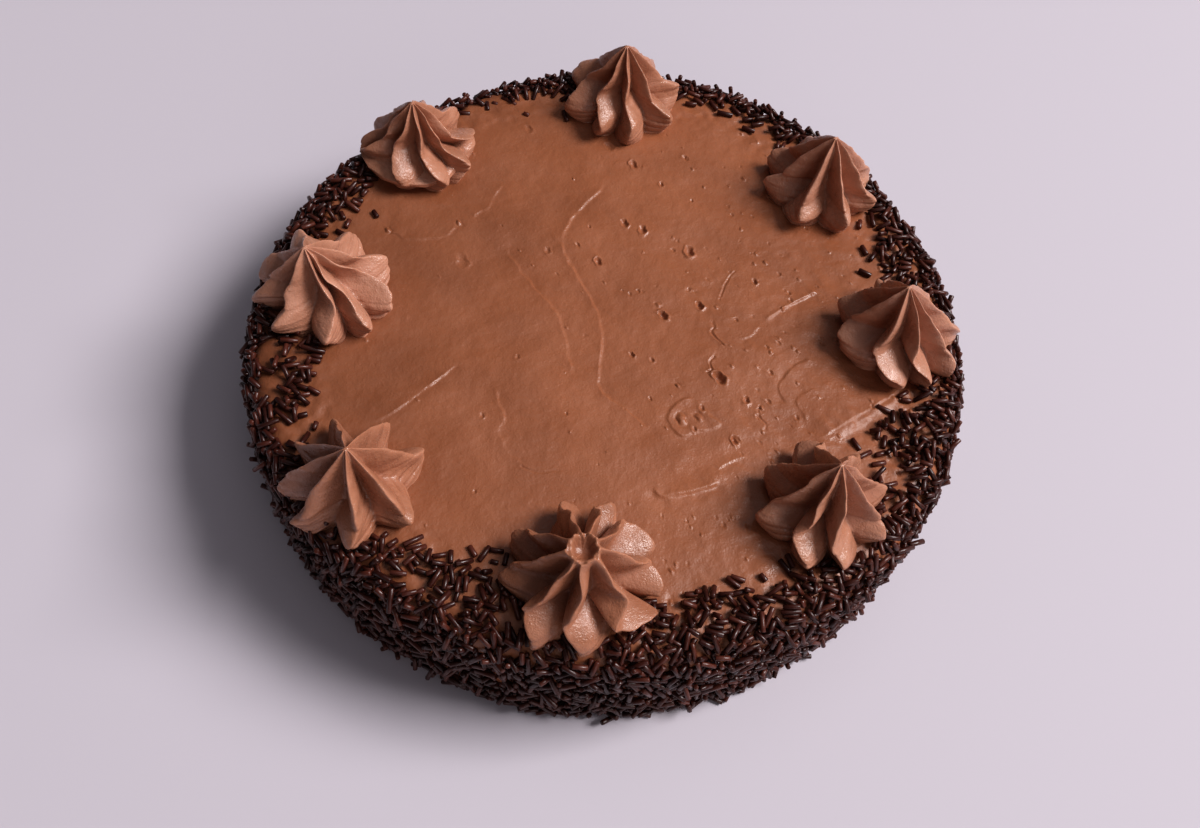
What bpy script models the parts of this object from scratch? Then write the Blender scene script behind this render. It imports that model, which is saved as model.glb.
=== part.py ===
"""A round chocolate layer cake, frosted all over, with eight piped rosettes on its rim.

Everything is in metres with +Z up. The origin is the centre of the flat base, and the
side that faces the table's edge looks along -Y. The cake is whole, so it is one solid
out to the coat of sprinkles on its side, and each rosette is a solid of its own.
"""
import math
from collections import namedtuple

import bmesh
import bpy

MM = 0.001

# --- driving sizes, in millimetres ------------------------------------------------
CAKE_RADIUS = 110.0          # out to the sprinkle coat
CAKE_HEIGHT = 45.0           # flat base to frosted top
SHOULDER_RADIUS = 10.0       # rounding between top and side
SIDE_BULGE_HEIGHT = 14.0     # where the side stands out furthest
SIDE_LEAN = 0.8              # how far the side leans in below the shoulder
FOOT_HEIGHT = 3.0            # the coat tucks in below this
FOOT_HEIGHT_TUCK = 0.5       # how far it has tucked in there
FOOT_TUCK = 1.6              # and at the base
SHOULDER_STEPS = 5
CAKE_STEPS = 96
MERGE_DISTANCE = 0.1
CAKE_CREASE = 50.0           # degrees between faces that stay smooth
ROSETTE_CREASE = 40.0

# The spread-out frosting isn't a true circle: (waves round the cake, share of the
# radius, direction of one crest in degrees).
OUTLINE_WAVES = ((2, 0.0185, 48.1), (3, 0.0060, -44.8))

SPRINKLED_RIM = 17.0         # the part of the top, in from the edge, that has sprinkles
FROSTING_GAP = 0.3           # between the cake's top and a rosette's underside

# --- rosettes ---------------------------------------------------------------------
# Each is one squeeze from a star nozzle: a full skirt of lobes, and above its waist a
# body whose ridges run up to the tip. Levels count from 0 at the foot to 1 at the waist
# and on to 2 at the tip. The shares below are of a rosette's full reach.
FOOT_SHARE = 0.88            # the foot tucks in under the skirt
LEVELS = (0.0, 0.22, 0.50, 0.72, 0.86, 1.0, 1.22, 1.48, 1.76, 2.0)
FOOT_TUCK_IN = ((0.0, FOOT_SHARE), (0.22, 0.97), (0.50, 1.0), (2.0, 1.0))
SKIRT_BULGE = ((0.0, 1.0), (0.50, 1.0), (0.72, 0.74), (0.86, 0.36), (1.0, 0.0), (2.0, 0.0))
GROOVE_SHARE = ((0.0, 0.84), (0.50, 0.76), (1.0, 0.60), (1.48, 0.55), (1.76, 0.58), (2.0, 0.70))
BLUNT_GROOVE_SHARE = 0.92    # the rim of a broken-off tip is nearly round
TURN_SHARE = ((0.0, 0.0), (0.50, 0.05), (0.72, 0.35), (0.86, 0.72), (1.0, 1.0),
              (1.22, 0.72), (1.48, 0.48), (2.0, 0.40))
LOBE_ROUNDNESS = 1.30        # at the foot: more makes the end of a lobe rounder
RIDGE_SHARPNESS = 1.40       # from the waist up: more hollows the flanks of a ridge
LOBE_STEPS = (-0.62, -0.26, 0.0, 0.26, 0.62, 1.0)   # groove to groove across a ridge
BODY_FULLNESS = 0.88         # under 1 makes the body swell, over 1 hollows it
TIP_REACH = 0.035            # a drawn-out tip
BLUNT_REACH = 0.21           # a tip that broke off
CRATER_DEPTH = 2.2

Rosette = namedtuple("Rosette", "place x y reach height lean_x lean_y waist neck blunt ridges")

# x, y: centre of the foot; lean: how far the tip lies from it; waist: its share of the
# height; neck: how far the ridges reach there, as a share of the full reach; ridges: the
# way each lobe points and how far it has turned from its ridge at the waist, in degrees.
ROSETTES = (
    Rosette("rear", -10.4, 90.4, 19.8, 25.5, -1.0, -0.3, 0.44, 0.66, False,
            ((20, 5), (66, 5), (108, 5), (150, 8), (206, 16), (254, 22), (282, 6), (334, 11))),
    Rosette("rear_right", 59.0, 65.8, 19.2, 25.5, -0.5, -0.9, 0.36, 0.80, False,
            ((28, 0), (68, 0), (108, 4), (150, 4), (184, -8), (250, 0), (301, 2), (352, 8))),
    Rosette("right", 86.2, 9.2, 19.2, 26.5, -4.6, 0.7, 0.38, 0.80, False,
            ((20, 3), (64, 3), (111, 6), (155, 10), (207, 16), (265, 26), (307, 20),
             (340, 4))),
    Rosette("front_right", 65.4, -53.0, 18.8, 26.5, -1.5, 1.2, 0.34, 0.84, False,
            ((20, 0), (66, 2), (106, 5), (158, 8), (203, 11), (257, 17), (298, 18),
             (340, -2))),
    Rosette("front", 2.6, -84.9, 21.0, 23.5, -1.2, -0.7, 0.38, 0.86, True,
            ((2, -16), (39, -22), (76, -10), (112, 0), (154, 6), (200, 14), (248, 24),
             (287, 20), (333, 16))),
    Rosette("front_left", -62.2, -68.9, 19.6, 25.5, 0.6, -1.7, 0.32, 0.86, False,
            ((36, 8), (80, 0), (119, 0), (155, 0), (190, -4), (229, -6), (281, -6),
             (335, 4))),
    Rosette("left", -86.2, -7.8, 20.8, 23.5, -3.6, -2.0, 0.44, 0.68, False,
            ((0, -10), (36, 0), (82, 4), (124, 6), (166, 6), (208, 10), (241, -4),
             (286, -16), (318, -6))),
    Rosette("rear_left", -71.6, 52.6, 18.6, 24.5, -1.6, -1.9, 0.47, 0.62, False,
            ((19, 17), (66, 8), (112, 4), (148, 2), (182, 4), (212, 8), (248, 13),
             (296, 12), (338, 12))),
)

# --- finishes: colour, roughness --------------------------------------------------
FROSTING = ("chocolate_frosting", (0.30, 0.10, 0.05, 1.0), 0.45)
SPRINKLES = ("chocolate_sprinkles", (0.035, 0.012, 0.008, 1.0), 0.30)


def clear_scene():
    for obj in list(bpy.data.objects):
        bpy.data.objects.remove(obj, do_unlink=True)


def new_collection(name):
    collection = bpy.data.collections.new(name)
    bpy.context.scene.collection.children.link(collection)
    return collection


def principled(name, colour, roughness):
    material = bpy.data.materials.new(name)
    material.use_nodes = True
    shader = material.node_tree.nodes["Principled BSDF"]
    shader.inputs["Base Color"].default_value = colour
    shader.inputs["Roughness"].default_value = roughness
    shader.inputs["Metallic"].default_value = 0.0
    material.diffuse_color = colour
    return material


def outline_factor(angle):
    """How far the cake reaches at this angle, as a share of its mean radius."""
    factor = 1.0
    for waves, share, crest in OUTLINE_WAVES:
        factor += share * math.cos(waves * (angle - math.radians(crest)))
    return factor


def cake_profile():
    """Half of the cake's cross-section as (radius, height), from the top centre down."""
    points = [(0.0, CAKE_HEIGHT)]
    side_top = CAKE_RADIUS - SIDE_LEAN
    centre_radius = side_top - SHOULDER_RADIUS
    centre_height = CAKE_HEIGHT - SHOULDER_RADIUS
    for step in range(SHOULDER_STEPS + 1):
        turn = math.pi / 2 * (1 - step / SHOULDER_STEPS)
        points.append((centre_radius + SHOULDER_RADIUS * math.cos(turn),
                       centre_height + SHOULDER_RADIUS * math.sin(turn)))
    points.append((CAKE_RADIUS, SIDE_BULGE_HEIGHT))
    points.append((CAKE_RADIUS - FOOT_HEIGHT_TUCK, FOOT_HEIGHT))
    points.append((CAKE_RADIUS - FOOT_TUCK, 0.0))
    points.append((0.0, 0.0))
    return points


def turned_mesh(name, profile, steps):
    """The profile swept round the Z axis by a Screw modifier, as a plain mesh."""
    line = bpy.data.meshes.new(name + "_profile")
    vertices = [(radius * MM, 0.0, height * MM) for radius, height in profile]
    edges = [(i, i + 1) for i in range(len(profile) - 1)]
    line.from_pydata(vertices, edges, [])
    turner = bpy.data.objects.new(name + "_turner", line)
    bpy.context.scene.collection.objects.link(turner)
    screw = turner.modifiers.new("turn", "SCREW")
    screw.steps = steps
    screw.render_steps = steps
    screw.use_merge_vertices = True
    screw.merge_threshold = MERGE_DISTANCE * MM
    evaluated = turner.evaluated_get(bpy.context.evaluated_depsgraph_get())
    mesh = bpy.data.meshes.new_from_object(evaluated)
    mesh.name = name
    bpy.data.objects.remove(turner, do_unlink=True)
    bpy.data.meshes.remove(line)
    return mesh


def make_cake(collection, materials):
    mesh = turned_mesh("frosted_cake", cake_profile(), CAKE_STEPS)
    for vertex in mesh.vertices:
        factor = outline_factor(math.atan2(vertex.co.y, vertex.co.x))
        vertex.co.x *= factor
        vertex.co.y *= factor
    for material in materials:
        mesh.materials.append(material)
    coat_start = (CAKE_RADIUS - SPRINKLED_RIM) * MM
    for face in mesh.polygons:
        face.material_index = 1 if face.center.xy.length > coat_start else 0
    mesh.shade_smooth()
    mesh.set_sharp_from_angle(angle=math.radians(CAKE_CREASE))
    collection.objects.link(bpy.data.objects.new("frosted_cake", mesh))


def interpolate(knots, position):
    """The value at this position on straight lines between (position, value) knots."""
    for (start, first), (end, last) in zip(knots, knots[1:]):
        if position <= end:
            return first + (last - first) * (position - start) / (end - start)
    return knots[-1][1]


def height_at(rosette, level):
    """The share of the rosette's height that a level lies at."""
    if level <= 1:
        return rosette.waist * level
    return rosette.waist + (1 - rosette.waist) * (level - 1)


def reach_at(rosette, level):
    """How far the ridges reach at a level, as a share of the full reach."""
    tip = BLUNT_REACH if rosette.blunt else TIP_REACH
    body = tip
    if level < 2:
        body += (rosette.neck - tip) * min(1.0, 2 - level) ** BODY_FULLNESS
    bulge = interpolate(SKIRT_BULGE, level) * (1 - rosette.neck)
    return interpolate(FOOT_TUCK_IN, level) * (body + bulge)


def groove_at(rosette, level):
    """How far out the grooves lie at a level, as a share of the ridges' reach."""
    if rosette.blunt and level == LEVELS[-1]:
        return BLUNT_GROOVE_SHARE
    return interpolate(GROOVE_SHARE, level)


def ridge_form(off_ridge, level):
    """1 on a ridge and 0 in a groove: a blunt lobe at the foot, a crisp ridge above."""
    lobe = 1 - off_ridge ** LOBE_ROUNDNESS
    ridge = (1 - off_ridge) ** RIDGE_SHARPNESS
    return lobe + (ridge - lobe) * min(1.0, level)


def ridge_directions(rosette, level):
    """The way each ridge points at a level, in degrees, counter-clockwise."""
    turned = interpolate(TURN_SHARE, level)
    return [lobe - turn * turned for lobe, turn in rosette.ridges]


def star_columns(directions):
    """The directions of a ring's points, with each one's share from ridge to groove."""
    columns = []
    count = len(directions)
    for number, ridge in enumerate(directions):
        before = (ridge - directions[number - 1]) % 360 / 2
        after = (directions[(number + 1) % count] - ridge) % 360 / 2
        for step in LOBE_STEPS:
            half_way = after if step > 0 else before
            columns.append((math.radians(ridge + step * half_way), abs(step)))
    return columns


def ring_points(rosette, level):
    """One star-shaped ring of a rosette."""
    height_share = height_at(rosette, level)
    reach = rosette.reach * reach_at(rosette, level)
    groove = groove_at(rosette, level)
    centre_x = rosette.x + rosette.lean_x * height_share
    centre_y = rosette.y + rosette.lean_y * height_share
    height = CAKE_HEIGHT + FROSTING_GAP + rosette.height * height_share
    points = []
    for angle, off_ridge in star_columns(ridge_directions(rosette, level)):
        radius = reach * (groove + (1 - groove) * ridge_form(off_ridge, level))
        points.append((centre_x + radius * math.cos(angle),
                       centre_y + radius * math.sin(angle), height))
    return points


def make_rosette(rosette, collection, material):
    """Lofts the star-shaped rings and closes them with a flat foot and a tip."""
    name = "rosette_" + rosette.place
    shape = bmesh.new()
    rings = []
    for level in LEVELS:
        rings.append([shape.verts.new((x * MM, y * MM, z * MM))
                      for x, y, z in ring_points(rosette, level)])
    for lower, upper in zip(rings, rings[1:]):
        for i in range(len(lower)):
            j = (i + 1) % len(lower)
            shape.faces.new((lower[i], lower[j], upper[j], upper[i]))
    shape.faces.new(list(reversed(rings[0])))
    tip_height = CAKE_HEIGHT + FROSTING_GAP + rosette.height
    if rosette.blunt:
        tip_height -= CRATER_DEPTH
    tip = shape.verts.new(((rosette.x + rosette.lean_x) * MM,
                           (rosette.y + rosette.lean_y) * MM, tip_height * MM))
    for i in range(len(rings[-1])):
        j = (i + 1) % len(rings[-1])
        shape.faces.new((rings[-1][i], rings[-1][j], tip))
    bmesh.ops.recalc_face_normals(shape, faces=shape.faces)
    mesh = bpy.data.meshes.new(name)
    shape.to_mesh(mesh)
    shape.free()
    mesh.materials.append(material)
    mesh.shade_smooth()
    mesh.set_sharp_from_angle(angle=math.radians(ROSETTE_CREASE))
    collection.objects.link(bpy.data.objects.new(name, mesh))


def main():
    clear_scene()
    collection = new_collection("layer_cake")
    frosting = principled(*FROSTING)
    sprinkles = principled(*SPRINKLES)
    make_cake(collection, (frosting, sprinkles))
    for rosette in ROSETTES:
        make_rosette(rosette, collection, frosting)


main()
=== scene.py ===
"""The looks of a chocolate layer cake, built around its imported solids.

The frosted cake's solid is replaced by a slightly smaller body of frosting and the
sprinkles that coat it, and each rosette by a finely ridged one in the same place.
Sizes are in millimetres up to the stage, light and camera, which are in metres.
"""
import math
import random
from collections import namedtuple
from itertools import combinations, product

import bmesh
import bpy
import numpy as np
from mathutils import Matrix, Vector


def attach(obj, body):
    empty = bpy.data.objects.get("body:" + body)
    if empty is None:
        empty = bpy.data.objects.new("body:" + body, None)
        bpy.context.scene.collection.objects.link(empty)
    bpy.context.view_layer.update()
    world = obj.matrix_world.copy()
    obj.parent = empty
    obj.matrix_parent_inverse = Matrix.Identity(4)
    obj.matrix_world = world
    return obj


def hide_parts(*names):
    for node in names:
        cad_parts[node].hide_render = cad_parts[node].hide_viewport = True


MM = 0.001
BODY = "root"
CAKE_NODE = "frosted_cake"

scene = bpy.context.scene
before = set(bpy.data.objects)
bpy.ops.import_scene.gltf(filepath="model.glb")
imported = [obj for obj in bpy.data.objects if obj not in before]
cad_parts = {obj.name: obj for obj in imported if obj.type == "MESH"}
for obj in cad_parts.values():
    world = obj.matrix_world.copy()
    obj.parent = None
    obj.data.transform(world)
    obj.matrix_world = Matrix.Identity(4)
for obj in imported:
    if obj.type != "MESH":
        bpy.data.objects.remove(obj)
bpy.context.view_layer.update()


# ---- Helpers: noise, curves, meshes ----
NOISE_GRID = 64


def smooth_step(value, low, high):
    share = np.clip((np.asarray(value, dtype=float) - low) / (high - low), 0, 1)
    return share * share * (3 - 2 * share)


def bell(distance, width):
    """1 at no distance, falling smoothly to 0 over about twice the width."""
    return np.exp(-(np.asarray(distance) / width) ** 2)


def smooth_noise(x, y, cell, seed):
    """Smooth noise from -1 to 1 over a plane, with features about one cell wide."""
    grid = np.random.default_rng(seed).uniform(-1, 1, (NOISE_GRID, NOISE_GRID))
    x, y = np.asarray(x) / cell, np.asarray(y) / cell
    column, row = np.floor(x).astype(int), np.floor(y).astype(int)
    across, along = smooth_step(x - column, 0, 1), smooth_step(y - row, 0, 1)

    def corner(dx, dy):
        return grid[(column + dx) % NOISE_GRID, (row + dy) % NOISE_GRID]

    near = corner(0, 0) * (1 - across) + corner(1, 0) * across
    far = corner(0, 1) * (1 - across) + corner(1, 1) * across
    return near * (1 - along) + far * along


def eased_curve(places, values, position):
    """The value at a position on a smooth curve; the values may be rows of numbers."""
    slopes = np.gradient(values, places, axis=0)
    position = min(max(position, places[0]), places[-1])
    span = min(max(int(np.searchsorted(places, position)) - 1, 0), len(places) - 2)
    width = places[span + 1] - places[span]
    t = (position - places[span]) / width
    value, next_value = values[span:span + 2]
    rise, next_rise = width * slopes[span:span + 2]
    return ((value * (1 + 2 * t) + rise * t) * (1 - t) ** 2
            + (next_value * (3 - 2 * t) + next_rise * (t - 1)) * t * t)


def curve_through(points, spacing):
    """Points at about this spacing along a smooth curve through the points given."""
    points = np.array(points, dtype=float)
    positions = []
    for start, length in enumerate(np.hypot(*np.diff(points, axis=0).T)):
        count = max(2, int(length / spacing))
        positions.extend(start + np.arange(count) / count)
    places = np.arange(len(points))
    return np.array([eased_curve(places, points, position)
                     for position in positions + [places[-1]]])


def add_object(name, data):
    made = bpy.data.objects.new(name, data)
    scene.collection.objects.link(made)
    return made


def mesh_object(name, vertices, faces, material):
    """A smooth mesh in the scene, from vertices in metres."""
    mesh = bpy.data.meshes.new(name)
    mesh.from_pydata(vertices, [], faces)
    mesh.validate()
    mesh.shade_smooth()
    mesh.materials.append(material)
    return add_object(name, mesh)


def add_piece(name, vertices, faces, material, node):
    """A piece of the cake, with its body and the solid that it replaces."""
    piece = mesh_object(name, (vertices * MM).tolist(), faces, material)
    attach(piece, BODY)
    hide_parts(node)


def ring_faces(first, first_count, second, second_count):
    """Faces between two rings, running outward from the first, which may be one point.

    Otherwise the second has as many points, or twice or half as many.
    """
    if first_count == 1:
        return [(first, second + i, second + (i + 1) % second_count)
                for i in range(second_count)]
    faces = []
    if first_count == second_count:
        for i in range(first_count):
            j = (i + 1) % first_count
            faces.append((first + i, second + i, second + j, first + j))
        return faces
    widening = first_count < second_count
    coarse, fine = (first, second) if widening else (second, first)
    coarse_count = min(first_count, second_count)
    for i in range(coarse_count):
        j = (i + 1) % coarse_count
        a, b, middle = coarse + i, coarse + j, fine + 2 * i + 1
        fan = ((a, fine + 2 * i, middle), (a, middle, b), (b, middle, fine + 2 * j))
        faces.extend(fan if widening else [(two, one, three) for one, two, three in fan])
    return faces


def tube_faces(rings, size):
    """The sides of a tube of this many rings, each of this many points."""
    faces = []
    for start in range(0, (rings - 1) * size, size):
        for i in range(size):
            j = (i + 1) % size
            faces.append((start + i, start + j, start + size + j, start + size + i))
    return faces


# ---- What the frame says: the cake's outline and each rosette's place ----
def node_points(node):
    """A CAD node's distinct vertices, in millimetres."""
    points = np.array([vertex.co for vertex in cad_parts[node].data.vertices])
    return np.unique(np.round(points / MM, 3), axis=0)


LEAST_REACH = 0.9  # the outline's points reach at least this share of the furthest


class Outline:
    """The cake's uneven outline, seen from above, from its CAD solid."""

    def __init__(self, node):
        points = node_points(node)
        self.top = points[:, 2].max()
        reach = np.hypot(points[:, 0], points[:, 1])
        angle = np.arctan2(points[:, 1], points[:, 0])
        furthest = {}
        for direction, distance in sorted(zip(np.round(angle, 3), reach)):
            if distance > LEAST_REACH * reach.max():
                furthest[direction] = distance
        self.angles, self.reaches = np.array(list(furthest.items())).T
        self.radius = self.reaches.mean()

    def factor(self, angle):
        """The outline's reach in a direction, as a share of the mean radius."""
        angle = (np.asarray(angle) + math.pi) % math.tau - math.pi
        return np.interp(angle, self.angles, self.reaches, period=math.tau) / self.radius


# A rosette's rings of points, from the foot up: each ring's share of the height, its
# centre, how far its ridges reach, the share of that its grooves reach, and the way each
# ridge points.
RosettePlace = namedtuple("RosettePlace",
                          "node foot height shares centres reaches grooves directions")
SAME_LEVEL = 0.02  # points this close in height are in one ring
CENTRING_ROUNDS = 6
LEAST_RING = 16  # fewer points at one height aren't a ring
WAIST_RING = 5  # the ring where the skirt of lobes meets the body


def ring_peaks(ring):
    """A star ring's centre, reach, groove share and ridge directions."""
    centre = ring.mean(axis=0)
    for _ in range(CENTRING_ROUNDS):
        spokes = ring - centre
        order = np.argsort(np.arctan2(spokes[:, 1], spokes[:, 0]))
        reach = np.hypot(*spokes[order].T)
        before, after = np.roll(reach, 1), np.roll(reach, -1)
        ends = ring[order][(reach > before) & (reach > after)]
        system = np.c_[2 * ends, np.ones(len(ends))]
        centre = np.linalg.lstsq(system, (ends ** 2).sum(axis=1), rcond=None)[0][:2]
    spokes = ends - centre
    full = np.hypot(*spokes.T).mean()
    hollows = reach[(reach < before) & (reach < after)]
    return centre, full, hollows.mean() / full, np.arctan2(spokes[:, 1], spokes[:, 0])


def read_rosette(node):
    """A rosette's rings, as they are in its CAD solid."""
    points = node_points(node)
    foot, top = points[:, 2].min(), points[:, 2].max()
    rings = []
    for level in np.unique(np.round(points[:, 2], 2)):
        ring = points[abs(points[:, 2] - level) < SAME_LEVEL][:, :2]
        if len(ring) < LEAST_RING:
            continue
        centre, reach, groove, ways = ring_peaks(ring)
        if rings:
            below = rings[-1][-1]
            gaps = (ways[None, :] - below[:, None] + math.pi) % math.tau - math.pi
            ways = below + gaps[np.arange(len(gaps)), abs(gaps).argmin(axis=1)]
        rings.append(((level - foot) / (top - foot), centre, reach, groove, ways))
    return RosettePlace(node, foot, top - foot, *(np.array(column) for column in zip(*rings)))


outline = Outline(CAKE_NODE)
rosette_places = [read_rosette(node) for node in sorted(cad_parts) if node != CAKE_NODE]


# ---- Materials ----
def new_material(name):
    material = bpy.data.materials.new(name)
    material.use_nodes = True
    tree = material.node_tree
    return material, tree, tree.nodes["Principled BSDF"]


def set_inputs(node, **values):
    for name, value in values.items():
        node.inputs[name.replace("_", " ")].default_value = value


def add_node(tree, kind, **values):
    node = tree.nodes.new(kind)
    set_inputs(node, **values)
    return node


def noise_node(tree, size, detail=3.0):
    """Noise in object space with features of about this size."""
    place = tree.nodes.new("ShaderNodeTexCoord")
    noise = add_node(tree, "ShaderNodeTexNoise", Scale=1.0 / (size * MM), Detail=detail)
    tree.links.new(place.outputs["Object"], noise.inputs["Vector"])
    return noise.outputs["Fac"]


def ramp(tree, factor, stops):
    """A colour ramp with (position, colour) stops."""
    node = tree.nodes.new("ShaderNodeValToRGB")
    elements = node.color_ramp.elements
    while len(elements) < len(stops):
        elements.new(0.5)
    for element, (position, colour) in zip(elements, stops):
        element.position = position
        element.color = colour
    tree.links.new(factor, node.inputs["Fac"])
    return node.outputs["Color"]


def map_range(tree, value, low, high, to_low, to_high):
    node = add_node(tree, "ShaderNodeMapRange", From_Min=low, From_Max=high,
                    To_Min=to_low, To_Max=to_high)
    tree.links.new(value, node.inputs["Value"])
    return node.outputs["Result"]


def bump_chain(tree, shader, layers):
    """Stacks bumps, each (height output, depth), into the shader's normals."""
    normal = None
    for height, depth in layers:
        bump = add_node(tree, "ShaderNodeBump", Strength=1.0, Distance=depth * MM)
        tree.links.new(height, bump.inputs["Height"])
        if normal is not None:
            tree.links.new(normal, bump.inputs["Normal"])
        normal = bump.outputs["Normal"]
    tree.links.new(normal, shader.inputs["Normal"])
    tree.links.new(normal, shader.inputs["Coat Normal"])


FOOD_IOR = 1.46
# Buttercream shades: (dark, mean, light). The piped buttercream is set paler and less red: this
# makes up for the painted shade multiplied into it, and is partly a painted highlight on its lit
# faces.
SPREAD_SHADES = ((0.275, 0.098, 0.045, 1), (0.312, 0.114, 0.054, 1), (0.350, 0.132, 0.065, 1))
PIPED_SHADES = ((0.432, 0.192, 0.114, 1), (0.500, 0.230, 0.142, 1), (0.562, 0.270, 0.173, 1))
SHADE_STOPS = (0.30, 0.50, 0.72)  # where in the noise each shade is full
# Painted light and shade: the powers by which a rosette's factor lifts each channel, so frosting
# painted lighter is also less red.
PAINTED_LIGHT_POWERS = (1.0, 1.5, 2.0, 0)  # paler frosting is also less red
# Painted shade, for the light falling off to the left: the spread frosting is darker there.
# X where darkest and where no longer, and the factor. The change wavers by EDGE_WAVER, in patches.
DEEP_X, FULL_X, DEEP_SHADE = -75, -8, 0.82
EDGE_WAVER, EDGE_PATCH = 12, 45.0
# Painted shade and highlight: what a colour is multiplied by where the surface is hollow, flat and
# sharply bent outward, so hollows get a warm painted shade and crests a painted highlight.
PAINTED_BEND_SHADES = ((0.42, (0.58, 0.47, 0.41, 1)), (0.50, (0.80, 0.78, 0.77, 1)),
               (0.58, (1, 1, 1, 1)))
SPRINKLE_SHADES = ((0.0, (0.032, 0.0075, 0.0050, 1)), (0.55, (0.056, 0.0135, 0.0085, 1)),
                   (1.0, (0.100, 0.0270, 0.0165, 1)))


def multiplied(tree, colour, shade):
    mix = add_node(tree, "ShaderNodeMix", Factor=1.0)
    mix.data_type = "RGBA"
    mix.blend_type = "MULTIPLY"
    colours = [socket for socket in mix.inputs if socket.type == "RGBA"]
    tree.links.new(colour, colours[0])
    tree.links.new(shade, colours[1])
    return next(socket for socket in mix.outputs if socket.type == "RGBA")


def painted_bend_shade(tree):
    """Painted shade: factors that make a colour darker and warmer in hollows, and lighter on
    crests as a painted highlight.
    """
    bend = tree.nodes.new("ShaderNodeNewGeometry").outputs["Pointiness"]
    return ramp(tree, bend, PAINTED_BEND_SHADES)


def painted_side_shade(tree):
    """Painted shade: factors that make a colour unevenly darker towards one side of the cake,
    standing in for the light falling off there.
    """
    place = tree.nodes.new("ShaderNodeTexCoord")
    parts = tree.nodes.new("ShaderNodeSeparateXYZ")
    tree.links.new(place.outputs["Object"], parts.inputs["Vector"])
    waver = map_range(tree, noise_node(tree, EDGE_PATCH), 0.3, 0.7,
                      -EDGE_WAVER * MM, EDGE_WAVER * MM)
    total = tree.nodes.new("ShaderNodeMath")
    tree.links.new(parts.outputs["X"], total.inputs[0])
    tree.links.new(waver, total.inputs[1])
    return map_range(tree, total.outputs["Value"], DEEP_X * MM, FULL_X * MM, DEEP_SHADE, 1.0)


def frosting_material(name, shades, patch_size, roughness, grain, form):
    """Soft chocolate buttercream: slightly translucent, with glossier and duller patches.

    roughness is (smooth, rough), grain holds (size, depth) pairs, and form is a function
    that adds the nodes of a painted shade factor for the colour.
    """
    material, tree, shader = new_material(name)
    patches = noise_node(tree, patch_size, detail=4.0)
    colour = multiplied(tree, ramp(tree, patches, list(zip(SHADE_STOPS, shades))), form(tree))
    tree.links.new(colour, shader.inputs["Base Color"])
    sheen_patches = noise_node(tree, patch_size * 0.6, detail=5.0)
    gloss = map_range(tree, sheen_patches, 0.35, 0.65, *roughness)
    tree.links.new(gloss, shader.inputs["Roughness"])
    set_inputs(shader, Subsurface_Weight=0.05, Subsurface_Radius=(1.0, 0.45, 0.25),
               Subsurface_Scale=1.2 * MM, IOR=FOOD_IOR)
    bump_chain(tree, shader, [(noise_node(tree, size), depth) for size, depth in grain])
    return material


def spread_frosting():
    # The spread frosting gets a painted shade that darkens it towards the left.
    return frosting_material("frosting_spread", SPREAD_SHADES, 24.0, (0.28, 0.50),
                             ((5.0, 0.36), (1.7, 0.16), (0.60, 0.08)), painted_side_shade)


def piped_frosting(pale):
    """Buttercream from the nozzle, with a moist film, its colour lighter or darker by this factor
    as painted light and shade for how light falls on the rosette.
    """
    shades = np.multiply(PIPED_SHADES, np.power(pale, PAINTED_LIGHT_POWERS))
    name = "frosting_piped_%d" % round(100 * pale)
    # The piped frosting gets a painted shade in its hollows and a painted highlight on its crests.
    material = frosting_material(name, shades, 7.0, (0.22, 0.56),
                                 ((3.5, 0.25), (1.4, 0.20), (0.50, 0.15)), painted_bend_shade)
    set_inputs(material.node_tree.nodes["Principled BSDF"], Coat_Weight=0.16,
               Coat_Roughness=0.09)
    return material


def sprinkle_material():
    """Hard dark chocolate with a thin confectioner's glaze, a little uneven in shade."""
    material, tree, shader = new_material("sprinkle_chocolate")
    island = tree.nodes.new("ShaderNodeNewGeometry").outputs["Random Per Island"]
    tree.links.new(ramp(tree, island, SPRINKLE_SHADES), shader.inputs["Base Color"])
    roughness = map_range(tree, noise_node(tree, 1.2), 0.3, 0.7, 0.24, 0.42)
    tree.links.new(roughness, shader.inputs["Roughness"])
    set_inputs(shader, IOR=FOOD_IOR)
    bump_chain(tree, shader, ((noise_node(tree, 0.8), 0.05),))
    return material


# ---- The body of frosting ----
COAT = 2.8  # how far the frosting lies inside the coat's outline
CORE_SHOULDER = 8.0  # rounding of the frosted edge
TOP_RING_STEP = 0.95
SIDE_STEP = 3.0
SHOULDER_ROWS = 10
FINE_COLUMNS = 704  # at the rim, and half as many for each halving of radius
FINE_DROP = 0.5  # a ring further than this below the top has half as many
INNER_COLUMNS = 88
FINER_CUTS = 2  # how often the edges near a fine detail are cut
FINER_MARGIN = 0.4  # how far past it, and how far below the top
FINER_DROP = 1.0
SIDE_RIPPLE = 0.35
FOOT_SPAN = 4  # where the ripple of the side fades out towards the foot

core_radius = outline.radius - COAT
flat_radius = core_radius - CORE_SHOULDER
side_length = outline.top - CORE_SHOULDER
arc_length = CORE_SHOULDER * math.pi / 2
up_to_top = side_length + arc_length

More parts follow.
